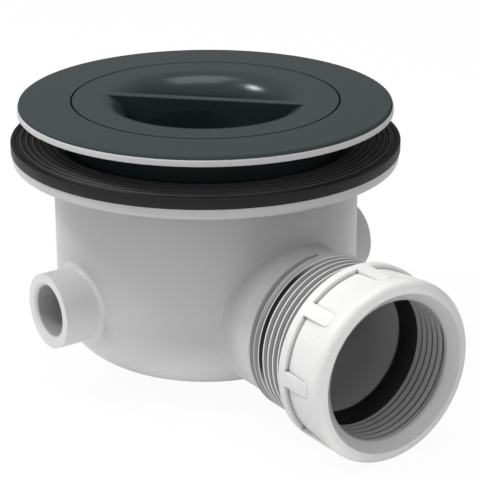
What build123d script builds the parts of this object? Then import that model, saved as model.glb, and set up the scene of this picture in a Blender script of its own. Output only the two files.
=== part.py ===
from build123d import *
import os
from math import sqrt

# A shower trap for a 90 mm tray hole, with a 40 mm compression outlet.
# Millimetres, +Z up. The origin is the middle of the flat base, and the outlet
# points along +X. Two small side inlets point along +Y and -Y.

# Neck of the top flange, which screws into the body
neck_radius = 43.5
neck_wall = 4.0
neck_clearance = 0.3
neck_engagement = 21.0
ledge_width = 1.7
ledge_thickness = 2.4

# Body, a cup with a flange round its mouth
body_height = 66.15
body_wall = 3.65
chamber_wall = 3.0
base_wall = 3.0
base_corner = 18.9
flange_overhang = 12.45
flange_thickness = 3.3
flange_edge_round = 1.1
flange_root_round = 0.8

# Outlet for a 40 mm pipe
pipe_radius = 20.0
pipe_clearance = 0.3
spigot_wall = 3.0
spigot_lift = 0.4
spigot_plain_length = 10.35
spigot_length = 30.55
branch_root_round = 1.0
pipe_stop_width = 1.5

# Thread of the outlet and its nut, 11 turns to the inch
thread_pitch = 2.309
thread_depth = 1.35
thread_base_width = 1.9
thread_crest_width = 0.36
thread_clearance = 0.25
thread_side_clearance = 0.1
thread_bite = 0.15
relief_depth = 0.7
relief_floor_width = 0.5
relief_mouth_width = 1.3
relief_first_turn = 1.5
relief_turns = 0.6

# Tapered outlet seal in the mouth of the spigot
seal_squeeze = 0.5
seal_depth = 6.9
seal_lip_length = 1.6
seal_flare = 2.5
seal_seat_taper = 1.85
seal_edge_wall = 0.45
seal_clearance = 0.1
seal_inset = 0.15

# Union nut
nut_length = 18.15
nut_engagement = 1.55
nut_wall = 1.15
nut_rim_height = 1.22
nut_rim_length = 2.8
nut_rim_round = 0.4
nut_flare = 1.0
nut_mouth_length = 3.15
nut_mouth_round = 2.5
nut_rib_count = 8
nut_rib_width = 4.8
nut_rib_setback = 5.05
nut_rib_corner = 1.9
nut_lip_clearance = 0.8
nut_lip_length = 1.2
nut_mouth_chamfer_depth = 3.1
nut_mouth_chamfer_width = 2.64
nut_relief_length = 1.6

# Side inlets
inlet_radius = 11.6
inlet_bore = 7.85
inlet_length = 10.35
inlet_chamfer = 1.0

# Rubber gasket under the tray
gasket_overhang = 0.4
gasket_thickness = 2.65
gasket_edge_height = 2.15
gasket_inner_clearance = 1.5
gasket_ridge_count = 6
gasket_ridge_pitch = 2.12
gasket_ridge_height = 0.7
gasket_ridge_base = 1.0
gasket_ridge_crest = 0.36
gasket_ridge_inset = 2.1

# Room left for the tray, and the parts above it
tray_gap = 8.44
upper_seal_thickness = 1.94
upper_seal_overhang = 0.4
upper_seal_clearance = 0.6
upper_seal_edge_round = 0.4
plate_thickness = 1.19
plate_overhang = 14.0
plate_edge_round = 0.6
plate_root_round = 1.2

# Waste insert, one moulding: disc, bell mouth, dip tube, skirt and grip bar
rim_wall = 2.05
insert_clearance = 0.25
insert_edge_round = 0.15
disc_thickness = 2.5
bell_radius = 9.0
tube_wall = 2.5
channel_width = 9.0
skirt_length = 10.5
skirt_wall = 3.5
skirt_clearance = 0.3
grip_angle = 45.4
grip_thickness = 2.6
grip_edge_round = 0.5
grip_crown = 3.7
grip_arch_radius = 41.0

# O-ring round the skirt
ring_cord = 2.0
ring_clearance = 0.05
ring_groove_width = 2.6
ring_groove_drop = 5.0

# Seal cup that hangs in the neck. Its rim is 50 mm above the tube's end, which is the water seal
cup_rim_clearance = 1.07
cup_gap = 4.8
cup_wall = 2.0
cup_corner = 6.0
cup_lift = 3.0
sump_gap = 9.0
fin_count = 4
fin_thickness = 2.0
fin_clearance = 0.3

# Radii worked out from the neck
body_radius = neck_radius + neck_clearance + body_wall
chamber_radius = body_radius - chamber_wall
flange_radius = body_radius + flange_overhang
neck_bore = neck_radius - neck_wall
plate_radius = neck_radius + plate_overhang
seam_radius = neck_radius - rim_wall
skirt_inner = neck_bore - skirt_clearance - skirt_wall
tube_radius = skirt_inner - channel_width - tube_wall

# Heights worked out from the bottom up
gasket_land = body_height + gasket_thickness
gasket_top = gasket_land + gasket_ridge_height
upper_seal_bottom = gasket_top + tray_gap
plate_bottom = upper_seal_bottom + upper_seal_thickness
plate_top = plate_bottom + plate_thickness
disc_bottom = plate_top - disc_thickness
neck_bottom = body_height - neck_engagement
ledge_top = neck_bottom + ledge_thickness
skirt_bottom = disc_bottom - skirt_length
cup_bottom = base_wall + cup_lift
tube_bottom = cup_bottom + cup_wall + sump_gap
cup_rim = skirt_bottom - cup_rim_clearance

# Outlet radii and stations along X
pipe_bore = pipe_radius + pipe_clearance
spigot_radius = pipe_bore + spigot_wall
thread_crest = spigot_radius + thread_depth
outlet_height = spigot_radius + spigot_lift
thread_start = body_radius + spigot_plain_length
spigot_end = body_radius + spigot_length
seal_end = spigot_end - seal_depth
nut_rear = spigot_end - nut_engagement
nut_minor = spigot_radius + thread_clearance
nut_major = thread_crest + thread_clearance
nut_barrel = nut_major + nut_wall
nut_rim = nut_barrel + nut_rim_height
nut_lip = pipe_radius + nut_lip_clearance
nut_shoulder = nut_length - nut_mouth_chamfer_depth - nut_lip_length
nut_rib_tip = nut_length - nut_rib_setback

# The outlet's own frame: Z along the pipe, starting at the trap's centre line
outlet_frame = Location((0, 0, outlet_height), (0, 90, 0))


def turned(*corners):
    """Solid of revolution about Z. A corner is (radius, height) or (radius, height, rounding)."""
    points = [(corner[0], 0, corner[1]) for corner in corners]
    roundings = [corner[2] if len(corner) == 3 else 0 for corner in corners]
    section = Face(FilletPolyline(*points, radius=roundings, close=True))
    return revolve(section, Axis.Z)


def rod(radius, start, end):
    """Solid cylinder about Z between two heights."""
    return Pos(0, 0, start) * Cylinder(
        radius, end - start, align=(Align.CENTER, Align.CENTER, Align.MIN)
    )


def helical_ridge(root, crest, base_width, crest_width, start, end):
    """Right-hand thread ridge about Z. It begins at the angle of -X, whatever its start."""
    path = Helix(pitch=thread_pitch, height=end - start, radius=root)
    section = Face(
        Wire.make_polygon(
            [
                (root, 0, -base_width / 2),
                (root, 0, base_width / 2),
                (crest, 0, crest_width / 2),
                (crest, 0, -crest_width / 2),
            ]
        )
    )
    ridge = sweep(section, path=path, is_frenet=True)
    return Pos(0, 0, start) * Rot(0, 0, 180) * ridge


def spigot_thread():
    """Thread on the spigot, in the outlet's frame, cut off square at the spigot's end."""
    slope = (thread_base_width - thread_crest_width) / thread_depth
    ridge = helical_ridge(
        spigot_radius - thread_bite,
        thread_crest,
        thread_base_width + slope * thread_bite,
        thread_crest_width,
        thread_start,
        spigot_end,
    )
    return ridge & rod(thread_crest + thread_bite, 0, spigot_end)


def thread_relief():
    """Deeper root between the second and third turns of the spigot's thread."""
    start = thread_start + relief_first_turn * thread_pitch
    return helical_ridge(
        spigot_radius - relief_depth,
        thread_crest,
        relief_floor_width,
        relief_mouth_width,
        start,
        start + relief_turns * thread_pitch,
    )


def trap_body():
    """White body: a cup with a flange, the threaded spigot and two side inlets."""
    outside = turned(
        (0, 0),
        (body_radius, 0, base_corner),
        (body_radius, body_height - flange_thickness, flange_root_round),
        (flange_radius, body_height - flange_thickness, flange_edge_round),
        (flange_radius, body_height),
        (0, body_height),
    )
    spigot = outlet_frame * rod(spigot_radius, 0, spigot_end)
    inlets = Pos(0, 0, outlet_height) * Rot(90, 0, 0) * Cylinder(
        inlet_radius, 2 * (body_radius + inlet_length)
    )
    outside = outside + spigot + inlets
    seams = [
        edge
        for edge in outside.edges()
        if edge.geom_type not in (GeomType.LINE, GeomType.CIRCLE)
    ]
    outside = fillet(seams, branch_root_round)
    outside = outside + outlet_frame * spigot_thread() - outlet_frame * thread_relief()
    inside = turned(
        (0, base_wall),
        (chamber_radius, base_wall, base_corner - chamber_wall),
        (chamber_radius, neck_bottom),
        (neck_radius + neck_clearance, neck_bottom),
        (neck_radius + neck_clearance, body_height),
        (0, body_height),
    )
    pipe_way = outlet_frame * (
        rod(pipe_bore - pipe_stop_width, 0, body_radius)
        + rod(pipe_bore, body_radius, spigot_end)
    )
    seal_seat = outlet_frame * turned(
        (0, seal_end),
        (spigot_radius - seal_edge_wall - seal_seat_taper, seal_end),
        (spigot_radius - seal_edge_wall, spigot_end),
        (0, spigot_end),
    )
    end = body_radius + inlet_length
    inlet_way = turned(
        (0, -end),
        (inlet_bore + inlet_chamfer, -end),
        (inlet_bore, -end + inlet_chamfer),
        (inlet_bore, end - inlet_chamfer),
        (inlet_bore + inlet_chamfer, end),
        (0, end),
    )
    inlet_way = Pos(0, 0, outlet_height) * Rot(90, 0, 0) * inlet_way
    return outside - inside - pipe_way - seal_seat - inlet_way


def outlet_seal():
    """Black tapered ring that lies in the spigot's mouth and grips the pipe."""
    seat_slope = seal_seat_taper / seal_depth
    front = spigot_end - seal_inset
    back = seal_end + seal_clearance
    seat = spigot_radius - seal_edge_wall - seal_clearance
    lip = pipe_radius - seal_squeeze
    return outlet_frame * turned(
        (lip, back),
        (seat - seat_slope * (spigot_end - back), back),
        (seat - seat_slope * seal_inset, front),
        (lip + seal_flare, front),
        (lip, seal_end + seal_lip_length),
    )


def nut_rib():
    """One grip rib of the nut, from its rim to a round tip, level with the rim."""
    outline = Pos(0, nut_rim_length) * Rectangle(
        nut_rib_width, nut_rib_tip - nut_rim_length, align=(Align.CENTER, Align.MIN)
    )
    outline = fillet(outline.vertices().group_by(Axis.Y)[-1], nut_rib_corner)
    rib = Rot(0, 0, 90) * extrude(Plane.XZ * outline, nut_rim + nut_rim_height)
    sleeve = rod(nut_rim, nut_rim_length, nut_rib_tip) - rod(nut_minor, nut_rim_length, nut_rib_tip)
    return rib & sleeve


def nut_thread():
    """Thread inside the nut, in its own frame. It fills the spigot's grooves, less the clearances."""
    slope = (thread_base_width - thread_crest_width) / thread_depth
    narrowing = 2 * thread_side_clearance - slope * thread_clearance
    turns = int((nut_rear - thread_start) / thread_pitch) - 0.5
    ridge = helical_ridge(
        nut_major + thread_bite,
        nut_minor,
        thread_pitch - thread_crest_width - narrowing + slope * thread_bite,
        thread_pitch - thread_base_width - narrowing,
        thread_start + turns * thread_pitch - nut_rear,
        nut_shoulder - nut_relief_length,
    )
    return ridge & rod(nut_barrel, 0, nut_shoulder)


def union_nut():
    """White nut: rear rim, eight ribs, a barrel that widens to a round mouth, and its thread."""
    barrel = turned(
        (0, 0),
        (nut_rim, 0, nut_rim_round),
        (nut_rim, nut_rim_length),
        (nut_barrel, nut_rim_length),
        (nut_barrel + nut_flare, nut_length - nut_mouth_length),
        (nut_barrel + nut_flare, nut_length, nut_mouth_round),
        (0, nut_length),
    )
    rib = nut_rib()
    turn = 360 / nut_rib_count
    barrel = barrel + [Rot(0, 0, index * turn) * rib for index in range(nut_rib_count)]
    mouth = turned(
        (0, 0),
        (nut_major, 0),
        (nut_major, nut_shoulder),
        (nut_lip, nut_shoulder),
        (nut_lip, nut_length - nut_mouth_chamfer_depth),
        (nut_lip + nut_mouth_chamfer_width, nut_length),
        (0, nut_length),
    )
    return outlet_frame * Pos(0, 0, nut_rear) * (barrel - mouth + nut_thread())


def lower_gasket():
    """Black rubber ring on the body's flange, with round ridges on its face."""
    radius = flange_radius + gasket_overhang
    first = radius - gasket_ridge_inset
    corners = [
        (neck_radius + gasket_inner_clearance, body_height),
        (radius, body_height),
        (radius, body_height + gasket_edge_height),
    ]
    for index in range(gasket_ridge_count):
        middle = first - index * gasket_ridge_pitch
        if index > 0:
            corners.append((middle + gasket_ridge_base / 2, gasket_land))
        corners.append((middle + gasket_ridge_crest / 2, gasket_top))
        corners.append((middle - gasket_ridge_crest / 2, gasket_top))
        corners.append((middle - gasket_ridge_base / 2, gasket_land))
    corners.append((neck_radius + gasket_inner_clearance, gasket_land))
    return turned(*corners)


def upper_seal():
    """White seal stuck under the top plate."""
    radius = plate_radius + upper_seal_overhang
    return turned(
        (neck_radius + plate_root_round + upper_seal_clearance, upper_seal_bottom),
        (radius, upper_seal_bottom, upper_seal_edge_round),
        (radius, plate_bottom, upper_seal_edge_round),
        (neck_radius + plate_root_round + upper_seal_clearance, plate_bottom),
    )


def top_flange():
    """Charcoal top plate and its neck, with a recess for the insert and a ledge for the cup."""
    return turned(
        (neck_bore - ledge_width, neck_bottom),
        (neck_radius, neck_bottom),
        (neck_radius, plate_bottom, plate_root_round),
        (plate_radius, plate_bottom),
        (plate_radius, plate_top, plate_edge_round),
        (seam_radius, plate_top, insert_edge_round),
        (seam_radius, disc_bottom),
        (neck_bore, disc_bottom),
        (neck_bore, ledge_top),
        (neck_bore - ledge_width, ledge_top),
    )


def grip_bar():
    """Upright web across the bell mouth, level with the plate, arched underneath."""
    spring_drop = grip_crown + grip_arch_radius - sqrt(grip_arch_radius**2 - tube_radius**2)
    span = 2 * (tube_radius + bell_radius)
    web = Pos(0, 0, plate_top) * Box(
        span, grip_thickness, spring_drop, align=(Align.CENTER, Align.CENTER, Align.MAX)
    )
    web = fillet(web.edges().filter_by(Axis.X).group_by(Axis.Z)[-1], grip_edge_round)
    arch = Pos(0, 0, plate_top - grip_crown - grip_arch_radius) * Rot(90, 0, 0)
    web = web - arch * Cylinder(grip_arch_radius, 2 * grip_thickness)
    return Rot(0, 0, grip_angle) * web


def waste_insert():
    """Charcoal insert: disc, bell mouth, dip tube, skirt with a ring groove, and the grip bar."""
    disc_radius = seam_radius - insert_clearance
    skirt_radius = neck_bore - skirt_clearance
    groove_floor = neck_bore - ring_cord - 2 * ring_clearance
    groove_top = disc_bottom - ring_groove_drop
    tube_outer = tube_radius + tube_wall
    outside = turned(
        (0, tube_bottom),
        (tube_outer, tube_bottom),
        (tube_outer, disc_bottom, bell_radius - tube_wall),
        (skirt_inner, disc_bottom),
        (skirt_inner, skirt_bottom),
        (skirt_radius, skirt_bottom),
        (skirt_radius, groove_top - ring_groove_width),
        (groove_floor, groove_top - ring_groove_width),
        (groove_floor, groove_top),
        (skirt_radius, groove_top),
        (skirt_radius, disc_bottom),
        (disc_radius, disc_bottom),
        (disc_radius, plate_top, insert_edge_round),
        (0, plate_top),
    )
    bell_bottom = plate_top - bell_radius
    roll = Pos(0, 0, bell_bottom) * Torus(tube_radius + bell_radius, bell_radius)
    bell = rod(tube_radius + bell_radius, bell_bottom, plate_top) - roll
    bore = rod(tube_radius, tube_bottom, plate_top)
    return outside - (bore + bell - grip_bar())


def insert_o_ring():
    """Black O-ring between the skirt and the neck."""
    middle = disc_bottom - ring_groove_drop - ring_groove_width / 2
    return Pos(0, 0, middle) * Torus(
        neck_bore - ring_cord / 2 - ring_clearance, ring_cord / 2
    )


def seal_cup():
    """White cup round the dip tube. Its fins hang on the ledge in the neck."""
    inner = tube_radius + tube_wall + cup_gap
    outer = inner + cup_wall
    cup = turned(
        (0, cup_bottom),
        (outer, cup_bottom, cup_corner),
        (outer, cup_rim),
        (inner, cup_rim),
        (inner, cup_bottom + cup_wall, cup_corner - cup_wall),
        (0, cup_bottom + cup_wall),
    )
    reach = neck_bore - fin_clearance
    middle = inner + cup_wall / 2
    fin = Pos(middle, 0, ledge_top) * Box(
        reach - middle, fin_thickness, cup_rim - ledge_top,
        align=(Align.MIN, Align.CENTER, Align.MIN),
    )
    fin = fin & rod(reach, ledge_top, cup_rim)
    for index in range(fin_count):
        cup = cup + Rot(0, 0, 360 * (index + 0.5) / fin_count) * fin
    return cup


os.makedirs("parts", exist_ok=True)
pieces = {
    "trap_body": trap_body,
    "lower_gasket": lower_gasket,
    "upper_seal": upper_seal,
    "top_flange": top_flange,
    "waste_insert": waste_insert,
    "insert_o_ring": insert_o_ring,
    "seal_cup": seal_cup,
    "outlet_seal": outlet_seal,
    "union_nut": union_nut,
}
for name, make in pieces.items():
    export_step(make(), f"parts/{name}.step")
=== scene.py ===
"""Shower trap for a 90 mm tray hole, dressed and lit for a plain studio view.

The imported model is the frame. Each sub-assembly is a class that dresses its own
nodes, each finish is a frozen dataclass, and the studio holds floor, light and camera.
"""
import logging
from dataclasses import dataclass, field
from enum import Enum
from typing import Any

import bpy
import numpy as np
from mathutils import Matrix, Vector


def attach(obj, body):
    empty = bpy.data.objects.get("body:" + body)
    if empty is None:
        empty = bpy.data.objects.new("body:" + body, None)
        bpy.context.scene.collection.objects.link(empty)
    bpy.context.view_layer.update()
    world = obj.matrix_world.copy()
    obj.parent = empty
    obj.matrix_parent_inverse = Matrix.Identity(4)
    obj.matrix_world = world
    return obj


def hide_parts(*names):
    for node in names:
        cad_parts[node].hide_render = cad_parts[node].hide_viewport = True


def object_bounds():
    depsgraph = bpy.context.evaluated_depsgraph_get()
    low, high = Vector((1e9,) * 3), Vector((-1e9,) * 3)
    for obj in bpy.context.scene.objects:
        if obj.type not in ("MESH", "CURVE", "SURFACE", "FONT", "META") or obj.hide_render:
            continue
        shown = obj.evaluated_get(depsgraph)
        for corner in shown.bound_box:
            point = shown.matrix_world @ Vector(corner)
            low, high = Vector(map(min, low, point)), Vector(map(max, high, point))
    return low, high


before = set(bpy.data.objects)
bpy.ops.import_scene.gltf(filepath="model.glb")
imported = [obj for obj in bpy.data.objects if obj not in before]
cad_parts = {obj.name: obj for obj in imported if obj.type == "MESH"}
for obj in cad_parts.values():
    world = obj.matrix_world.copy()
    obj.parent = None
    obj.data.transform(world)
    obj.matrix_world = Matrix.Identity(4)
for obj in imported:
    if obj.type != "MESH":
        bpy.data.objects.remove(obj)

# Lengths are in millimetres where nothing else is said. MM turns them into metres.
MM = 0.001
# Height of the outlet's axis, and the pitch of its thread at 11 turns to the inch.
OUTLET_HEIGHT = 23.7
THREAD_PITCH = 2.309
# Radii of the two sides of the seam round the waste insert, and how softly they fade.
SEAM_START = 40.97
SEAM_END = 41.68
SEAM_FADE = 0.1
# Edges that meet at more than this many degrees are shaded sharp.
CREASE_ANGLE = 32.0
WHITE = (1.0, 1.0, 1.0, 1.0)
# Nearly all values of a noise texture lie in this range.
NOISE_RANGE = (0.3, 0.7)
# Detail and roughness of the noise of a moulding's cloud and of its grain.
CLOUD_NOISE = (3.0, 0.5)
GRAIN_NOISE = (2.0, 0.6)
# Openness at which a hollow has its full painted shade and at which it has none, and
# the rays that measure it.
HOLLOW_RANGE = (0.25, 0.95)
HOLLOW_RAYS = 12
# Sockets of a Mix node: the share, the two numbers, the two colours and the mixed colour.
MIX_SHARE, NUMBER_A, NUMBER_B, COLOUR_A, COLOUR_B, COLOUR_MIXED = 0, 2, 3, 6, 7, 2
CAD_BOX = [list(corner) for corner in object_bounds()]

log = logging.getLogger("shower_trap")


class Slot(Enum):
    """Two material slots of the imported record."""

    WHITE_NUT = "white_nut"
    BLACK_RUBBER = "black_rubber"


def linear(colour: str) -> tuple[float, float, float, float]:
    """Turns an sRGB hex colour into linear light.

    A dark value is divided by 12.92. Any other has 0.055 added, is divided by 1.055 and
    is raised to the power of 2.4.

    Args:
        colour: Six hex digits, with or without a leading hash.

    Returns:
        Red, green, blue and an alpha of 1, each from 0 to 1.
    """
    digits = colour.lstrip("#")
    coded = np.array([int(digits[i : i + 2], 16) for i in (0, 2, 4)]) / 255
    light = np.where(coded <= 0.04045, coded / 12.92, ((coded + 0.055) / 1.055) ** 2.4)
    return (*light.tolist(), 1.0)


def add(
    tree: bpy.types.NodeTree,
    kind: str,
    inputs: dict[str | int, Any] | None = None,
    **settings: Any,
) -> bpy.types.Node:
    """Adds one node to a tree, with its settings and its links.

    Args:
        tree: The node tree that gets the node.
        kind: The node's type name.
        inputs: Sockets by name or index, each given a value or another node's output.
        settings: Properties of the node itself.

    Returns:
        The new node.
    """
    node = tree.nodes.new(kind)
    for name, value in settings.items():
        setattr(node, name, value)
    for name, value in (inputs or {}).items():
        if isinstance(value, bpy.types.NodeSocket):
            tree.links.new(value, node.inputs[name])
        else:
            node.inputs[name].default_value = value
    return node


class Measure(Enum):
    """What a zone of tone is measured by, in millimetres."""

    ALONG = "distance along the outlet from the trap's axis"
    RADIUS = "distance from the outlet's axis"
    SIDE = "distance from the trap's middle plane, towards the far inlet"
    RISE = "height above the outlet's axis"
    ARM = "distance from the side inlets' axis"
    REACH = "distance from the trap's upright axis"
    TURN = "where the thread's helix through the point crosses the outlet's top line"


@dataclass(frozen=True)
class Fade:
    """A soft limit of a zone: the values of a measure where its tone is absent and full.

    Between them its share is the measure less the absent value, over the full value less
    the absent one, and it stays at 0 or 1 outside them.
    """

    measure: Measure
    absent: float
    full: float


@dataclass(frozen=True)
class Zone:
    """A part of a moulding with a tone of its own. A dull zone has no gloss."""

    colour: str
    fades: tuple[Fade, ...]
    dull: bool = False

    def share(
        self, tree: bpy.types.NodeTree, measures: dict[Measure, bpy.types.NodeSocket]
    ) -> bpy.types.NodeSocket:
        """Works out the zone's share at a point, which is the product of its fades.

        Args:
            tree: The material's node tree.
            measures: The output that gives each measure in metres.

        Returns:
            The output that is 0 outside the zone and 1 within it.
        """
        share: bpy.types.NodeSocket | None = None
        for fade in self.fades:
            part = add(
                tree,
                "ShaderNodeMapRange",
                {
                    "Value": measures[fade.measure],
                    "From Min": fade.absent * MM,
                    "From Max": fade.full * MM,
                },
            ).outputs[0]
            if share is None:
                share = part
            else:
                share = add(
                    tree, "ShaderNodeMath", {0: share, 1: part}, operation="MULTIPLY"
                ).outputs[0]
        return share


@dataclass(frozen=True)
class Moulding:
    """A moulded surface: a base colour, slow cloudiness, zones of tone and a fine grain.

    The cloud is the slow change of tone that a pigment leaves in a thick moulding, and
    the roughness swings with it. The grain is the texture of the mould's own face. It is
    really finer than 0.1 mm, which is too fine to show, so it is drawn coarser. The
    hollow tone is painted shade in inner corners. The IOR is that of polypropylene, and
    ABS and rubber lie close to it.
    """

    name: str
    colour: str
    cloud_colour: str
    # Colour of the painted shade in inner corners, and the distance that measures them.
    hollow_shade_colour: str
    hollow_reach: float
    cloud_size: float
    roughness: float
    roughness_swing: float
    grain_size: float
    grain_depth: float
    specular: float = 0.5
    ior: float = 1.49
    zones: tuple[Zone, ...] = ()

    def measures(
        self, tree: bpy.types.NodeTree, place: bpy.types.NodeSocket
    ) -> dict[Measure, bpy.types.NodeSocket]:
        """Works out each measure from the place on the object.

        The spoke runs from where the outlet's axis meets the trap's upright axis to the
        point, and its parts are along, side and rise. Radius, arm and reach are the
        lengths of the spoke without its part along, to the side and upwards. Turn is
        the part along plus the angle from the top times the pitch over a full turn.

        Args:
            tree: The material's node tree.
            place: Object coordinates.

        Returns:
            One output for each measure, in metres.
        """
        axis = (0.0, 0.0, OUTLET_HEIGHT * MM)
        spoke = add(tree, "ShaderNodeVectorMath", {0: place, 1: axis}, operation="SUBTRACT")
        along, side, rise = add(
            tree, "ShaderNodeSeparateXYZ", {0: spoke.outputs[0]}
        ).outputs
        flat = add(tree, "ShaderNodeCombineXYZ", {"Y": side, "Z": rise})
        radius = add(
            tree, "ShaderNodeVectorMath", {0: flat.outputs[0]}, operation="LENGTH"
        ).outputs["Value"]
        upright = add(tree, "ShaderNodeCombineXYZ", {"X": along, "Z": rise})
        arm = add(
            tree, "ShaderNodeVectorMath", {0: upright.outputs[0]}, operation="LENGTH"
        ).outputs["Value"]
        level = add(tree, "ShaderNodeCombineXYZ", {"X": along, "Y": side})
        reach = add(
            tree, "ShaderNodeVectorMath", {0: level.outputs[0]}, operation="LENGTH"
        ).outputs["Value"]
        angle = add(tree, "ShaderNodeMath", {0: side, 1: rise}, operation="ARCTAN2").outputs[0]
        advance = THREAD_PITCH * MM / (2 * np.pi)
        turn = add(
            tree, "ShaderNodeMath", {0: angle, 1: advance, 2: along}, operation="MULTIPLY_ADD"
        ).outputs[0]
        return {
            Measure.ALONG: along,
            Measure.RADIUS: radius,
            Measure.SIDE: side,
            Measure.RISE: rise,
            Measure.ARM: arm,
            Measure.REACH: reach,
            Measure.TURN: turn,
        }

    def clouded(
        self, tree: bpy.types.NodeTree, cloud: bpy.types.NodeSocket
    ) -> bpy.types.NodeSocket:
        """Mixes the base colour with the cloud's colour by the cloud's value.

        Args:
            tree: The material's node tree.
            cloud: The value of the cloud's noise.

        Returns:
            The output with the mixed colour.
        """
        share = add(
            tree,
            "ShaderNodeMapRange",
            {"Value": cloud, "From Min": NOISE_RANGE[0], "From Max": NOISE_RANGE[1]},
        )
        return add(
            tree,
            "ShaderNodeMix",
            {
                MIX_SHARE: share.outputs[0],
                COLOUR_A: linear(self.colour),
                COLOUR_B: linear(self.cloud_colour),
            },
            data_type="RGBA",
        ).outputs[COLOUR_MIXED]

    def zoned(
        self,
        tree: bpy.types.NodeTree,
        place: bpy.types.NodeSocket,
        colour: bpy.types.NodeSocket,
    ) -> tuple[bpy.types.NodeSocket, float | bpy.types.NodeSocket]:
        """Lays each zone's tone over the colour by its share, and takes gloss off dull zones.

        Args:
            tree: The material's node tree.
            place: Object coordinates.
            colour: The colour below the zones.

        Returns:
            The output with the colour, and the specular level or the output that gives it.
        """
        specular: float | bpy.types.NodeSocket = self.specular
        measures = self.measures(tree, place) if self.zones else {}
        for zone in self.zones:
            cover = zone.share(tree, measures)
            colour = add(
                tree,
                "ShaderNodeMix",
                {MIX_SHARE: cover, COLOUR_A: colour, COLOUR_B: linear(zone.colour)},
                data_type="RGBA",
            ).outputs[COLOUR_MIXED]
            if zone.dull:
                specular = add(
                    tree,
                    "ShaderNodeMix",
                    {MIX_SHARE: cover, NUMBER_A: specular, NUMBER_B: 0.0},
                    data_type="FLOAT",
                ).outputs[0]
        return colour, specular

    def hollowed(
        self, tree: bpy.types.NodeTree, colour: bpy.types.NodeSocket
    ) -> bpy.types.NodeSocket:
        """Mixes the painted shade of hollows with the colour by how open the surface is.

        Args:
            tree: The material's node tree.
            colour: The colour where the surface is open.

        Returns:
            The output with the mixed colour.
        """
        openness = add(
            tree,
            "ShaderNodeAmbientOcclusion",
            {"Distance": self.hollow_reach * MM},
            samples=HOLLOW_RAYS,
            only_local=True,
        )
        depth = add(
            tree,
            "ShaderNodeMapRange",
            {
                "Value": openness.outputs["AO"],
                "From Min": HOLLOW_RANGE[0],
                "From Max": HOLLOW_RANGE[1],
            },
        )
        return add(
            tree,
            "ShaderNodeMix",
            {
                MIX_SHARE: depth.outputs[0],
                COLOUR_A: linear(self.hollow_shade_colour),
                COLOUR_B: colour,
            },
            data_type="RGBA",
        ).outputs[COLOUR_MIXED]

    def build(self) -> bpy.types.Material:
        """Makes the material.

        The roughness is its middle value less the swing where the cloud is thin, and
        plus the swing where it is thick. The grain's value is the height of the bump.

        Returns:
            A material on Object coordinates, with colour, roughness and bump from nodes.
        """
        material = bpy.data.materials.new(self.name)
        material.use_nodes = True
        tree = material.node_tree
        tree.nodes.clear()
        place = add(tree, "ShaderNodeTexCoord").outputs["Object"]
        cloud = add(
            tree,
            "ShaderNodeTexNoise",
            {
                "Vector": place,
                "Scale": 1 / (self.cloud_size * MM),
                "Detail": CLOUD_NOISE[0],
                "Roughness": CLOUD_NOISE[1],
            },
        )
        grain = add(
            tree,
            "ShaderNodeTexNoise",
            {
                "Vector": place,
                "Scale": 1 / (self.grain_size * MM),
                "Detail": GRAIN_NOISE[0],
                "Roughness": GRAIN_NOISE[1],
            },
        )
        colour = self.clouded(tree, cloud.outputs[0])
        colour, specular = self.zoned(tree, place, colour)
        colour = self.hollowed(tree, colour)
        gloss = add(
            tree,
            "ShaderNodeMapRange",
            {
                "Value": cloud.outputs[0],
                "From Min": NOISE_RANGE[0],
                "From Max": NOISE_RANGE[1],
                "To Min": self.roughness - self.roughness_swing,
                "To Max": self.roughness + self.roughness_swing,
            },
        )
        bump = add(
            tree,
            "ShaderNodeBump",
            {"Height": grain.outputs[0], "Strength": 1.0, "Distance": self.grain_depth * MM},
        )
        surface = add(
            tree,
            "ShaderNodeBsdfPrincipled",
            {
                "Base Color": colour,
                "Roughness": gloss.outputs[0],
                "Normal": bump.outputs[0],
                "IOR": self.ior,
                "Specular IOR Level": specular,
            },
        )
        add(tree, "ShaderNodeOutputMaterial", {"Surface": surface.outputs[0]})
        return material


# Fades that zones of the spigot's thread share: under the tops of its crests, outside the
# bore, past the collar, and up to the third ridge.
UNDER_CRESTS = Fade(Measure.RADIUS, 24.63, 24.5)
OUTSIDE_BORE = Fade(Measure.RADIUS, 22.2, 22.4)
PAST_COLLAR = Fade(Measure.ALONG, 57.0, 57.6)
UP_TO_THIRD_RIDGE = Fade(Measure.TURN, 62.9, 62.6)

CUP_ZONES = (
    # Painted shade: the cup's wall is darker towards the flange, which shades it.
    Zone(
        "#AFAFAF",
        (
            Fade(Measure.RISE, 4.0, 38.0),
            Fade(Measure.RISE, 39.6, 39.3),
            Fade(Measure.ALONG, 52.0, 46.0),
        ),
    ),
    # Painted light: it is paler round the bottom corner, as if lit from below.
    Zone("#E2E2E2", (Fade(Measure.RISE, -4.0, -20.0), Fade(Measure.ALONG, 60.0, 50.0))),
)

INLET_ZONES = (
    # Painted light: the near inlet's tube is a little paler than the wall.
    Zone(
        "#DADADA",
        (
            Fade(Measure.SIDE, -43.5, -46.0),
            Fade(Measure.ARM, 13.5, 12.5),
            Fade(Measure.ARM, 8.0, 8.3),
        ),
    ),
    # Painted shade: its bore is a little darker.
    Zone("#ACACAC", (Fade(Measure.SIDE, -36.0, -38.0), Fade(Measure.ARM, 8.2, 8.0))),
)

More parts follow.
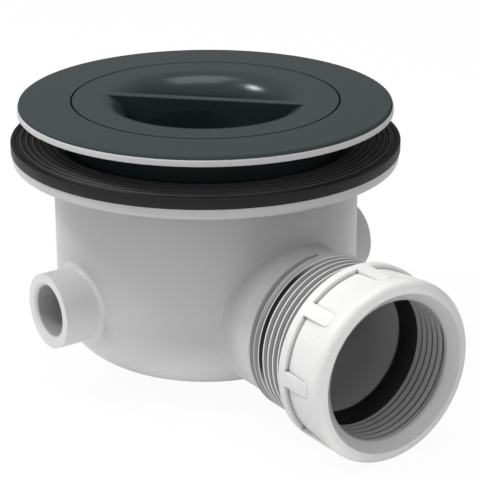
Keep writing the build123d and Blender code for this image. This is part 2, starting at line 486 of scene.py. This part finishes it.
SPIGOT_ZONES = (
    # Painted light: the spigot is pale where it leaves the cup.
    Zone(
        "#D8D8D8",
        (
            Fade(Measure.ALONG, 46.0, 52.0),
            Fade(Measure.ALONG, 57.3, 57.0),
            Fade(Measure.RADIUS, 22.4, 22.8),
            Fade(Measure.RISE, 33.0, 29.0),
        ),
    ),
    # Painted shade: the thread's flanks are darker.
    Zone("#9C9C9C", (PAST_COLLAR, UNDER_CRESTS, OUTSIDE_BORE)),
    # Painted shade: its roots are dark, and darkest where they are deepest.
    Zone(
        "#3A3A3A",
        (
            Fade(Measure.ALONG, 57.6, 58.6),
            Fade(Measure.ALONG, 78.0, 77.8),
            Fade(Measure.RADIUS, 23.7, 22.9),
            OUTSIDE_BORE,
        ),
    ),
    # Painted light: the ground between the second and third ridges is lighter on top.
    Zone(
        "#C8C8C8",
        (
            Fade(Measure.TURN, 59.8, 60.4),
            UP_TO_THIRD_RIDGE,
            Fade(Measure.RISE, 6.0, 17.0),
            UNDER_CRESTS,
            OUTSIDE_BORE,
        ),
    ),
    # Its outer half is somewhat lighter than the flanks all the way round.
    Zone(
        "#BCBCBC",
        (
            Fade(Measure.TURN, 60.6, 61.3),
            UP_TO_THIRD_RIDGE,
            PAST_COLLAR,
            UNDER_CRESTS,
            OUTSIDE_BORE,
        ),
    ),
    # Painted highlight: the crests are bright from the third ridge on.
    Zone("#F0F0F0", (Fade(Measure.TURN, 60.8, 63.2), Fade(Measure.RADIUS, 24.5, 24.6))),
    # Painted shadow: the groove between the third and fourth ridges is black on the near side.
    Zone(
        "#050505",
        (
            Fade(Measure.TURN, 62.45, 62.6),
            Fade(Measure.TURN, 64.2, 64.05),
            Fade(Measure.SIDE, -5.0, -12.0),
            Fade(Measure.RISE, -9.0, -3.0),
            Fade(Measure.RADIUS, 24.62, 24.5),
            OUTSIDE_BORE,
        ),
    ),
)

# Polypropylene moulded in a satin tool: a neutral grey white with soft, wide highlights.
BODY_PLASTIC = Moulding(
    name="satin_polypropylene",
    colour="#C5C5C5",
    cloud_colour="#C1C1C1",
    hollow_shade_colour="#727272",
    hollow_reach=1.0,
    cloud_size=40,
    roughness=0.4,
    roughness_swing=0.03,
    grain_size=0.9,
    grain_depth=0.003,
    zones=CUP_ZONES + INLET_ZONES + SPIGOT_ZONES,
)

# Fades of the nut's inside, which lies within its walls and behind the lip.
INSIDE_NUT = (Fade(Measure.RADIUS, 23.4, 23.2), Fade(Measure.ALONG, 91.1, 90.8))

NUT_ZONES = (
    # Painted shade: the barrel is greyer below than on top.
    Zone("#D6D6D6", (Fade(Measure.RISE, 13.0, -6.0), Fade(Measure.ALONG, 94.4, 92.0))),
    # Painted shade: so is the mouth's face on the far side.
    Zone("#D8D8D8", (Fade(Measure.SIDE, 4.0, 24.0), Fade(Measure.ALONG, 91.5, 93.5))),
    # Painted shade: the chamfer in the mouth is darker than the face round it.
    Zone("#CECECE", (Fade(Measure.RADIUS, 23.95, 23.75), Fade(Measure.ALONG, 90.8, 91.1))),
    # Painted shade: the inner thread has grey lands.
    Zone("#C0C0C0", INSIDE_NUT),
    # Painted shade: its grooves are dark.
    Zone("#5A5A5A", (Fade(Measure.RADIUS, 21.75, 22.1), *INSIDE_NUT)),
)

# ABS moulded in a polished tool: a clean bright white with tighter highlights.
NUT_PLASTIC = Moulding(
    name="gloss_white_abs",
    colour="#F3F3F2",
    cloud_colour="#F0F0EF",
    hollow_shade_colour="#505050",
    hollow_reach=1.0,
    cloud_size=25,
    roughness=0.28,
    roughness_swing=0.02,
    grain_size=1.2,
    grain_depth=0.001,
    zones=NUT_ZONES,
)

# The top of the plate and the insert.
ON_PLATE = Fade(Measure.RISE, 50.0, 52.0)

PLATE_ZONES = (
    # Painted sheen: the rounded outer edge is paler, and has no gloss.
    Zone("#424B4B", (Fade(Measure.REACH, 56.8, 56.95), ON_PLATE), dull=True),
    # Painted shade: the seam round the insert is dark, as the gap between the parts, and dull.
    Zone(
        "#121616",
        (
            Fade(Measure.REACH, SEAM_START, SEAM_START + SEAM_FADE),
            Fade(Measure.REACH, SEAM_END, SEAM_END - SEAM_FADE),
            ON_PLATE,
        ),
        dull=True,
    ),
)

# Charcoal ABS moulded in a polished tool: dark green grey, smooth, with clear highlights.
PLATE_PLASTIC = Moulding(
    name="charcoal_abs",
    colour="#2E3737",
    cloud_colour="#303939",
    hollow_shade_colour="#272D2D",
    hollow_reach=5.0,
    cloud_size=30,
    roughness=0.22,
    roughness_swing=0.02,
    grain_size=0.8,
    grain_depth=0.0005,
    specular=0.34,
    zones=PLATE_ZONES,
)

# Soft white elastomer seal: pale and flat, with hardly any highlight.
PALE_RUBBER = Moulding(
    name="pale_elastomer",
    colour="#CACACA",
    cloud_colour="#C6C6C6",
    hollow_shade_colour="#808080",
    hollow_reach=1.0,
    cloud_size=15,
    roughness=0.7,
    roughness_swing=0.05,
    grain_size=0.6,
    grain_depth=0.004,
    specular=0.3,
)

# The gasket's top, clear of its outer wall.
ON_GASKET = Fade(Measure.REACH, 60.1, 59.9)

GASKET_ZONES = (
    # Painted shade: the valleys between the gasket's ridges are black.
    Zone(
        "#020202",
        (ON_GASKET, Fade(Measure.RISE, 44.9, 45.0), Fade(Measure.RISE, 45.7, 45.3)),
    ),
    # Painted light: the ridges' tops are lighter.
    Zone("#4A4A4A", (ON_GASKET, Fade(Measure.RISE, 45.4, 45.78))),
    # Painted shade: the crown of the outer edge is black, with no light on top.
    Zone("#020202", (Fade(Measure.REACH, 58.6, 58.8), Fade(Measure.RISE, 45.5, 45.62))),
)

# Black EPDM rubber: near black, with a broad dull sheen.
BLACK_RUBBER = Moulding(
    name="black_epdm_rubber",
    colour="#121313",
    cloud_colour="#151616",
    hollow_shade_colour="#050505",
    hollow_reach=1.4,
    cloud_size=12,
    roughness=0.5,
    roughness_swing=0.05,
    grain_size=0.5,
    grain_depth=0.003,
    specular=0.35,
    zones=GASKET_ZONES,
)


def smooth_step(value: np.ndarray) -> np.ndarray:
    """Rises from 0 to 1 as value does, with level ends: 3 v squared less 2 v cubed."""
    value = np.clip(value, 0, 1)
    return value * value * (3 - 2 * value)


def stations(*runs: tuple[float, float, int]) -> np.ndarray:
    """Joins evenly spaced runs into one rising row of stations.

    Args:
        runs: Start, end and number of steps of each run. The end is left to the next run.

    Returns:
        All stations, with the last run's end.
    """
    rows = [np.linspace(start, end, steps, endpoint=False) for start, end, steps in runs]
    return np.concatenate([*rows, [runs[-1][1]]])


def arc(
    centre: tuple[float, float], radius: float, start: float, end: float, steps: int
) -> np.ndarray:
    """Points on a circular arc of a profile.

    Each is the centre plus the radius times the cosine and the sine of its angle, and
    the angles are evenly spaced.

    Args:
        centre: Centre of the arc.
        radius: Its radius.
        start: First angle in degrees.
        end: Last angle in degrees.
        steps: Number of points.

    Returns:
        An array of shape (steps, 2).
    """
    angle = np.radians(np.linspace(start, end, steps))
    return np.stack(
        [centre[0] + radius * np.cos(angle), centre[1] + radius * np.sin(angle)], axis=1
    )


def about_outlet(along: np.ndarray, radius: np.ndarray, angle: np.ndarray) -> np.ndarray:
    """Places points round the outlet's axis.

    X is the distance along, Y the radius times the sine of the angle, and Z the outlet's
    height plus the radius times its cosine.

    Args:
        along: Distance along the outlet from the trap's axis, in millimetres.
        radius: Distance from the outlet's axis.
        angle: Angle from the top towards the far inlet, in radians.

    Returns:
        The points in metres, with the arrays' common shape and a last axis of 3.
    """
    points = np.broadcast_arrays(
        along, radius * np.sin(angle), OUTLET_HEIGHT + radius * np.cos(angle)
    )
    return np.stack(points, axis=-1) * MM


def ring_surface(name: str, points: np.ndarray) -> bpy.types.Object:
    """Makes a closed ring from a grid that joins up in both directions.

    The grid's rows run along the profile and its columns round the axis, so each
    point (row, column) has a face with its next neighbours, counted round and round.
    The faces are turned over if the volume they enclose, summed as triple products of
    their corners, comes out below zero.

    Args:
        name: Name of the piece.
        points: Array of shape (rows, columns, 3), in metres.

    Returns:
        The piece, closed, with its faces outward, at the origin.
    """
    rows, columns = points.shape[:2]
    index = np.arange(rows * columns).reshape(rows, columns)
    below = np.roll(index, -1, axis=0)
    quads = np.stack(
        [index, np.roll(index, -1, axis=1), np.roll(below, -1, axis=1), below], axis=-1
    ).reshape(-1, 4)
    corners = points.reshape(-1, 3)
    first, second, third, fourth = (corners[quads[:, k]] for k in range(4))
    volume = np.einsum("ij,ij->i", first, np.cross(second, third)).sum()
    volume += np.einsum("ij,ij->i", first, np.cross(third, fourth)).sum()
    if volume < 0:
        quads = quads[:, ::-1]
    mesh = bpy.data.meshes.new(name)
    mesh.vertices.add(len(corners))
    mesh.vertices.foreach_set("co", corners.astype(np.float32).ravel())
    mesh.loops.add(quads.size)
    mesh.loops.foreach_set("vertex_index", quads.astype(np.int32).ravel())
    mesh.polygons.add(len(quads))
    mesh.polygons.foreach_set("loop_start", np.arange(0, quads.size, 4, dtype=np.int32))
    mesh.update(calc_edges=True)
    mesh.validate()
    mesh.shade_smooth()
    mesh.set_sharp_from_angle(angle=np.radians(CREASE_ANGLE))
    piece = bpy.data.objects.new(name, mesh)
    bpy.context.scene.collection.objects.link(piece)
    return piece


@dataclass
class UnionNut:
    """White union nut: rear rim, eight grip ribs, flared barrel, round mouth and inner thread.

    The rear is its place along the outlet, and places on the nut are along the pipe from
    its rear face.
    """

    rear: float = 76.1
    length: float = 18.5
    # Outside: the rim, the barrel behind the mouth, and the ribs.
    rim_radius: float = 27.27
    rim_length: float = 3.15
    rear_round: float = 0.4
    barrel_radius: float = 26.05
    flare_end: float = 15.35
    mouth_radius: float = 27.25
    mouth_round: float = 2.5
    rib_count: int = 8
    rib_width: float = 4.8
    rib_tip: float = 13.6
    rib_corner: float = 1.9
    edge_round: float = 0.22
    # Inside: the chamfered mouth, the lip, the thread and the socket for the spigot.
    chamfer_radius: float = 23.75
    face_round: float = 0.12
    lip_radius: float = 21.1
    lip_start: float = 14.85
    lip_end: float = 15.9
    lip_round: float = 0.1
    lip_slope: float = 0.08
    bore_radius: float = 22.3
    thread_radius: float = 21.6
    thread_end: float = 13.65
    groove_floor: float = 0.2
    groove_flank: float = 0.34
    run_out: float = 0.6
    run_out_fade: float = 0.8
    socket_radius: float = 24.9
    socket_end: float = 2.2
    # Stations lie close together from before to past the rim's front edge and the ribs'
    # tips, and angles do so across each rib and a margin beside it.
    rim_start: float = 0.6
    before_rim_edge: float = 0.4
    before_rib_tip: float = 2.1
    past_edge: float = 0.1
    rib_margin: float = 0.5
    rib_columns: int = 44
    gap_columns: int = 10
    thread_rows: int = 132

    def angles(self) -> np.ndarray:
        """Angles round the axis: a fine run over each rib and a coarse one over each gap.

        Returns:
            The angles in radians, rising from just before the first rib.
        """
        turn = 2 * np.pi / self.rib_count
        half = (self.rib_width / 2 + self.rib_margin) / self.rim_radius
        fine = np.linspace(-half, half, self.rib_columns, endpoint=False)
        coarse = np.linspace(half, turn - half, self.gap_columns, endpoint=False)
        one = np.concatenate([fine, coarse])
        return (one[None, :] + turn * np.arange(self.rib_count)[:, None]).ravel()

    def barrel(self, along: np.ndarray) -> np.ndarray:
        """Radius of the plain barrel: level behind the rim, then a straight flare."""
        share = (along - self.rim_length) / (self.flare_end - self.rim_length)
        return self.barrel_radius + (self.mouth_radius - self.barrel_radius) * np.clip(share, 0, 1)

    def raised(self, along: np.ndarray, angle: np.ndarray) -> np.ndarray:
        """How far a point is under the rim and the ribs, from 0 outside to 1 on top.

        The distance to a rib's outline is that of a rectangle with rounded corners,
        and the height rises over a narrow band on its inner side.

        Args:
            along: Stations along the nut, as a column.
            angle: Angles round the nut, as a row.

        Returns:
            The share of the raised height, rows by columns.
        """
        turn = 2 * np.pi / self.rib_count
        across = (np.mod(angle + turn / 2, turn) - turn / 2) * self.rim_radius
        wide = np.abs(across) - (self.rib_width / 2 - self.rib_corner)
        deep = along - (self.rib_tip - self.rib_corner)
        outside = np.hypot(np.maximum(wide, 0), np.maximum(deep, 0))
        inside = np.minimum(np.maximum(wide, deep), 0)
        rib = outside + inside - self.rib_corner
        rim = along - self.rim_length + 0 * across
        return smooth_step(-np.minimum(rib, rim) / self.edge_round)

    def outside(self) -> tuple[np.ndarray, np.ndarray]:
        """The outer surface, from the rear edge to the mouth's face.

        Between the two rounded ends the radius is the barrel's plus the raised share of
        what the rim stands above it.

        Returns:
            Stations and radii, each of rows along the nut by columns round it.
        """
        back = arc(
            (self.rear_round, self.rim_radius - self.rear_round),
            self.rear_round,
            start=180,
            end=90,
            steps=5,
        )
        edge, tip = self.rim_length, self.rib_tip
        along = stations(
            (self.rim_start, edge - self.before_rim_edge, 3),
            (edge - self.before_rim_edge, edge + self.past_edge, 9),
            (edge + self.past_edge, tip - self.before_rib_tip, 9),
            (tip - self.before_rib_tip, tip + self.past_edge, 26),
            (tip + self.past_edge, self.flare_end, 3),
        )
        angle = self.angles()
        plain = self.barrel(along)[:, None]
        share = self.raised(along[:, None], angle[None, :])
        radius = plain + share * (self.rim_radius - plain)
        front = arc(
            (self.length - self.mouth_round, self.mouth_radius - self.mouth_round),
            self.mouth_round,
            start=90,
            end=0,
            steps=12,
        )
        ones = np.ones((1, len(angle)))
        rows = np.concatenate([back[:, :1] * ones, along[:, None] * ones, front[:, :1] * ones])
        radii = np.concatenate([back[:, 1:] * ones, radius, front[:, 1:] * ones])
        return rows, radii

    def inside(self) -> tuple[np.ndarray, np.ndarray]:
        """The inner surface, from the mouth's face back to the rear.

        The thread is a land whose height depends on the phase, which is the station
        over the pitch plus the angle over a full turn. It fades out below the lip and
        ends at the socket that takes the spigot.

        Returns:
            Stations and radii, each of rows along the nut by columns round it.
        """
        angle = self.angles()
        ones = np.ones((1, len(angle)))
        mouth = np.array(
            [
                (self.length, self.chamfer_radius + self.face_round),
                (self.length - self.face_round, self.chamfer_radius),
                (self.lip_end + self.lip_round, self.lip_radius + self.lip_slope),
                (self.lip_end - self.lip_round, self.lip_radius),
                (self.lip_start, self.lip_radius),
                (self.lip_start, self.bore_radius),
            ]
        )
        start = self.thread_end + self.run_out
        along = np.linspace(start, self.socket_end, self.thread_rows)
        phase = along[:, None] / THREAD_PITCH + angle[None, :] / (2 * np.pi)
        swing = np.abs(np.mod(phase, 1) - 0.5) * THREAD_PITCH
        half = (THREAD_PITCH - self.groove_floor) / 2
        land = smooth_step((half - swing) / self.groove_flank)
        fade = smooth_step((start - along) / self.run_out_fade)
        radius = self.bore_radius - (self.bore_radius - self.thread_radius) * land * fade[:, None]
        socket = np.array([(self.socket_end, self.socket_radius), (0.0, self.socket_radius)])
        rows = np.concatenate([mouth[:, :1] * ones, along[:, None] * ones, socket[:, :1] * ones])
        radii = np.concatenate([mouth[:, 1:] * ones, radius, socket[:, 1:] * ones])
        return rows, radii

    def build(self) -> bpy.types.Object:
        """Makes the nut in place of its node.

        Returns:
            The nut as one closed ring.
        """
        outer_rows, outer_radii = self.outside()
        inner_rows, inner_radii = self.inside()
        along = self.rear + np.concatenate([outer_rows, inner_rows])
        radius = np.concatenate([outer_radii, inner_radii])
        points = about_outlet(along, radius, self.angles()[None, :])
        nut = ring_surface("union_nut_ribbed", points)
        nut.data.materials.append(NUT_PLASTIC.build())
        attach(nut, "root")
        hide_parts("union_nut")
        return nut


@dataclass
class OutletSeal:
    """Black tapered seal in the spigot's mouth, with a flange over the spigot's end.

    Places are along the outlet from the trap's axis. The seat's slope is the loss of
    radius for each millimetre back from the flange.
    """

    lip_radius: float = 19.7
    lip_back: float = 72.4
    lip_front: float = 73.9
    flare_radius: float = 21.8
    front: float = 78.22
    flange_back: float = 78.03
    flange_radius: float = 23.9
    seat_radius: float = 22.7
    seat_slope: float = 0.268
    edge_round: float = 0.5
    edge_cut: float = 0.12
    columns: int = 240

    def build(self) -> bpy.types.Object:
        """Makes the seal in place of its node, as one profile turned round the outlet.

        Returns:
            The seal as one closed ring.
        """
        back_radius = self.seat_radius - self.seat_slope * (self.flange_back - self.lip_back)
        profile = np.array(
            [
                (self.lip_back, self.lip_radius),
                (self.lip_front, self.lip_radius),
                (self.front - self.edge_round, self.flare_radius - self.edge_cut),
                (self.front - self.edge_cut, self.flare_radius + self.edge_cut),
                (self.front, self.flare_radius + self.edge_round),
                (self.front, self.flange_radius),
                (self.flange_back, self.flange_radius),
                (self.flange_back, self.seat_radius),
                (self.lip_back, back_radius),
            ]
        )
        angle = np.linspace(0, 2 * np.pi, self.columns, endpoint=False)[None, :]
        points = about_outlet(profile[:, :1], profile[:, 1:], angle)
        seal = ring_surface("outlet_seal_tapered", points)
        seal.data.materials.append(BLACK_RUBBER.build())
        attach(seal, "root")
        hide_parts("outlet_seal")
        return seal


@dataclass
class RibbedGasket:
    """Black rubber gasket on the body's flange, with six round ridges and a raised edge.

    Heights are above the body's base. The crown rounds the top of the outer edge: each
    point is a distance in from the edge and a height over the edge's top. From the last
    one the crown slopes down to its foot, just above the land.
    """

    bottom: float = 66.15
    edge_top: float = 69.3
    land: float = 68.8
    crest: float = 69.5
    radius: float = 60.3
    inner: float = 45.0
    first_ridge: float = 57.2
    pitch: float = 1.91
    ridge_count: int = 6
    ridge_width: float = 1.3
    corner: float = 0.15
    crown: tuple[tuple[float, float], ...] = (
        (0.0, -0.25),
        (0.08, 0.0),
        (0.3, 0.12),
        (1.0, 0.05),
    )
    foot_inset: float = 1.6
    foot_rise: float = 0.05
    top_rows: int = 116
    columns: int = 320

    def build(self) -> bpy.types.Object:
        """Makes the gasket in place of its node.

        Across the ridges the height is the land plus the ridge's height times the
        squared cosine of a quarter turn's share. That share is the distance to the
        nearest ridge's middle over half its width.

        Returns:
            The gasket as one closed ring.
        """
        last = self.first_ridge - (self.ridge_count - 1) * self.pitch
        half = self.ridge_width / 2
        across = np.linspace(self.first_ridge + half, last - half, self.top_rows)
        nearest = np.abs(np.mod(across - last + self.pitch / 2, self.pitch) - self.pitch / 2)
        share = np.clip(nearest / half, 0, 1)
        height = self.land + (self.crest - self.land) * np.cos(share * np.pi / 2) ** 2
        top = np.stack([across, height], axis=1)
        edge = np.array(
            [
                (self.inner, self.land - self.corner),
                (self.inner, self.bottom),
                (self.radius - self.corner, self.bottom),
                (self.radius, self.bottom + self.corner),
            ]
        )
        crown = np.array([self.radius, self.edge_top]) + np.array(self.crown) * (-1, 1)
        foot = np.array([(self.radius - self.foot_inset, self.land + self.foot_rise)])
        inner = np.array([(self.inner + self.corner, self.land)])
        profile = np.concatenate([edge, crown, foot, top, inner])
        angle = np.linspace(0, 2 * np.pi, self.columns, endpoint=False)[None, :]
        radius = profile[:, :1]
        points = np.stack(
            [radius * np.cos(angle), radius * np.sin(angle), profile[:, 1:] + 0 * angle], axis=-1
        )
        gasket = ring_surface("lower_gasket_ribbed", points * MM)
        gasket.data.materials.append(BLACK_RUBBER.build())
        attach(gasket, "root")
        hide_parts("lower_gasket")
        return gasket


@dataclass
class Mouldings:
    """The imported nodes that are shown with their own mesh, and the finish of each."""

    finishes: dict[str, Moulding] = field(
        default_factory=lambda: {
            "trap_body": BODY_PLASTIC,
            "seal_cup": BODY_PLASTIC,
            "upper_seal": PALE_RUBBER,
            "top_flange": PLATE_PLASTIC,
            "waste_insert": PLATE_PLASTIC,
            "insert_o_ring": BLACK_RUBBER,
        }
    )

    def dress(self) -> None:
        """Gives each of these nodes its finish."""
        for node, finish in self.finishes.items():
            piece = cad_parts[node]
            piece.data.materials.clear()
            piece.data.materials.append(finish.build())
            log.info("%s is %s", node, finish.name)


@dataclass(frozen=True)
class Glow:
    """A wide soft light of the room, full in one direction and gone at right angles to it."""

    way: tuple[float, float, float]
    strength: float


@dataclass(frozen=True)
class Softbox:
    """A square lamp that faces the object.

    The way points from the object to the lamp, the size is its side, and the radiance is
    how bright its face looks, where 1 is white. It hangs at its distance from the aim.
    Lengths are in metres.
    """

    name: str
    way: tuple[float, float, float]
    size: float
    radiance: float
    distance: float = 0.8
    aim: tuple[float, float, float] = (0.02, 0.0, 0.05)

    def hang(self) -> None:
        """Adds the lamp.

        A flat lamp's power is four times its area times its radiance here, so the
        power follows from how bright its face should look.
        """
        data = bpy.data.lights.new(self.name, "AREA")
        data.shape = "SQUARE"
        data.size = self.size
        data.energy = 4 * self.size * self.size * self.radiance
        lamp = bpy.data.objects.new(self.name, data)
        bpy.context.scene.collection.objects.link(lamp)
        toward = Vector(self.way).normalized()
        lamp.location = Vector(self.aim) + toward * self.distance
        lamp.rotation_euler = (-toward).to_track_quat("-Z", "Y").to_euler()


@dataclass
class Studio:
    """Floor, world, lamps and camera. Lengths are in metres, the lens in millimetres."""

    eye: tuple[float, float, float] = (0.43870, -0.29270, 0.23684)
    gaze: tuple[float, float, float] = (-0.76584, 0.53355, -0.35892)
    lens: float = 133.43
    sensor: float = 36.0
    nearest: float = 0.01
    farthest: float = 20.0
    floor_size: float = 6.0
    floor_colour: str = "#F4F4F4"
    floor_roughness: float = 0.9
    floor_glow: float = 0.1
    floor_share: float = 0.94
    glows: tuple[Glow, ...] = (
        Glow((0.0, 0.0, 1.0), 0.51),
        Glow((0.766, -0.534, 0.359), 0.36),
        Glow((-1.0, 0.0, 0.0), 0.12),
    )
    softboxes: tuple[Softbox, ...] = (
        Softbox("key_softbox", (-0.38, -0.5, 0.74), 0.16, 27.0),
        Softbox("top_softbox", (0.02, 0.05, 1.0), 0.5, 2.3),
    )

    def camera(self) -> None:
        """Places the camera, level and pointing along the gaze.

        Its right is the gaze crossed with straight up, and its up is its right crossed
        with the gaze.
        """
        data = bpy.data.cameras.new("camera")
        data.lens = self.lens
        data.sensor_width = self.sensor
        data.clip_start = self.nearest
        data.clip_end = self.farthest
        camera = bpy.data.objects.new("camera", data)
        bpy.context.scene.collection.objects.link(camera)
        gaze = Vector(self.gaze).normalized()
        right = gaze.cross(Vector((0, 0, 1))).normalized()
        up = right.cross(gaze)
        turn = Matrix((right, up, -gaze)).transposed().to_4x4()
        camera.matrix_world = Matrix.Translation(self.eye) @ turn
        bpy.context.scene.camera = camera

    def paper(self) -> bpy.types.Material:
        """Makes the floor's material, nearly white to the camera.

        The camera sees the floor's share of plain white, and for the rest lit paper,
        which keeps a faint shadow. Other rays see only the paper, and from below the
        floor is clear.

        Returns:
            The material.
        """
        material = bpy.data.materials.new("white_paper_floor")
        material.use_nodes = True
        tree = material.node_tree
        tree.nodes.clear()
        path = add(tree, "ShaderNodeLightPath")
        share = add(
            tree,
            "ShaderNodeMapRange",
            {"Value": path.outputs["Is Camera Ray"], "To Min": 0.0, "To Max": self.floor_share},
        )
        paper = add(
            tree,
            "ShaderNodeBsdfPrincipled",
            {
                "Base Color": linear(self.floor_colour),
                "Roughness": self.floor_roughness,
                "Specular IOR Level": 0.0,
            },
        )
        glow = add(tree, "ShaderNodeEmission", {"Color": WHITE, "Strength": self.floor_glow})
        lit = add(tree, "ShaderNodeAddShader", {0: paper.outputs[0], 1: glow.outputs[0]})
        white = add(tree, "ShaderNodeEmission", {"Color": WHITE, "Strength": 1.0})
        top = add(
            tree,
            "ShaderNodeMixShader",
            {0: share.outputs[0], 1: lit.outputs[0], 2: white.outputs[0]},
        )
        clear = add(tree, "ShaderNodeBsdfTransparent")
        side = add(tree, "ShaderNodeNewGeometry")
        both = add(
            tree,
            "ShaderNodeMixShader",
            {0: side.outputs["Backfacing"], 1: top.outputs[0], 2: clear.outputs[0]},
        )
        add(tree, "ShaderNodeOutputMaterial", {"Surface": both.outputs[0]})
        return material

    def floor(self) -> None:
        """Lays a square floor, centred on the trap, at the height of its lowest point."""
        low = min(corner[2] for corner in CAD_BOX)
        half = self.floor_size / 2
        mesh = bpy.data.meshes.new("floor")
        corners = [(-half, -half, low), (half, -half, low), (half, half, low), (-half, half, low)]
        mesh.from_pydata(corners, [], [(0, 1, 2, 3)])
        mesh.materials.append(self.paper())
        floor = bpy.data.objects.new("floor", mesh)
        bpy.context.scene.collection.objects.link(floor)

    def world(self) -> None:
        """Lights the scene from the room's glows and shows white behind it.

        The light from a direction is the sum, over the glows, of the strength times the
        cosine of the angle to the glow's way, where that is above zero.
        """
        world = bpy.data.worlds.new("studio")
        bpy.context.scene.world = world
        world.use_nodes = True
        tree = world.node_tree
        tree.nodes.clear()
        path = add(tree, "ShaderNodeLightPath")
        way = add(tree, "ShaderNodeTexCoord").outputs["Generated"]
        strength: float | bpy.types.NodeSocket = 0.0
        for glow in self.glows:
            facing = add(
                tree, "ShaderNodeVectorMath", {0: way, 1: glow.way}, operation="DOT_PRODUCT"
            ).outputs["Value"]
            ahead = add(
                tree, "ShaderNodeMath", {0: facing, 1: 0.0}, operation="MAXIMUM"
            ).outputs[0]
            strength = add(
                tree,
                "ShaderNodeMath",
                {0: ahead, 1: glow.strength, 2: strength},
                operation="MULTIPLY_ADD",
            ).outputs[0]
        light = add(tree, "ShaderNodeBackground", {"Color": WHITE, "Strength": strength})
        white = add(tree, "ShaderNodeBackground", {"Color": WHITE, "Strength": 1.0})
        mix = add(
            tree,
            "ShaderNodeMixShader",
            {0: path.outputs["Is Camera Ray"], 1: light.outputs[0], 2: white.outputs[0]},
        )
        add(tree, "ShaderNodeOutputWorld", {"Surface": mix.outputs[0]})

    def build(self) -> None:
        """Sets up the whole studio."""
        bpy.context.scene.view_settings.view_transform = "Standard"
        self.floor()
        self.world()
        for softbox in self.softboxes:
            softbox.hang()
        self.camera()


def main() -> None:
    """Dresses the trap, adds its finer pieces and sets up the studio."""
    logging.basicConfig(level=logging.INFO)
    Mouldings().dress()
    for part in (UnionNut(), OutletSeal(), RibbedGasket()):
        piece = part.build()
        log.info("%s is a surface of %d faces", piece.name, len(piece.data.polygons))
    Studio().build()
    bpy.context.view_layer.update()


if __name__ == "__main__":
    main()
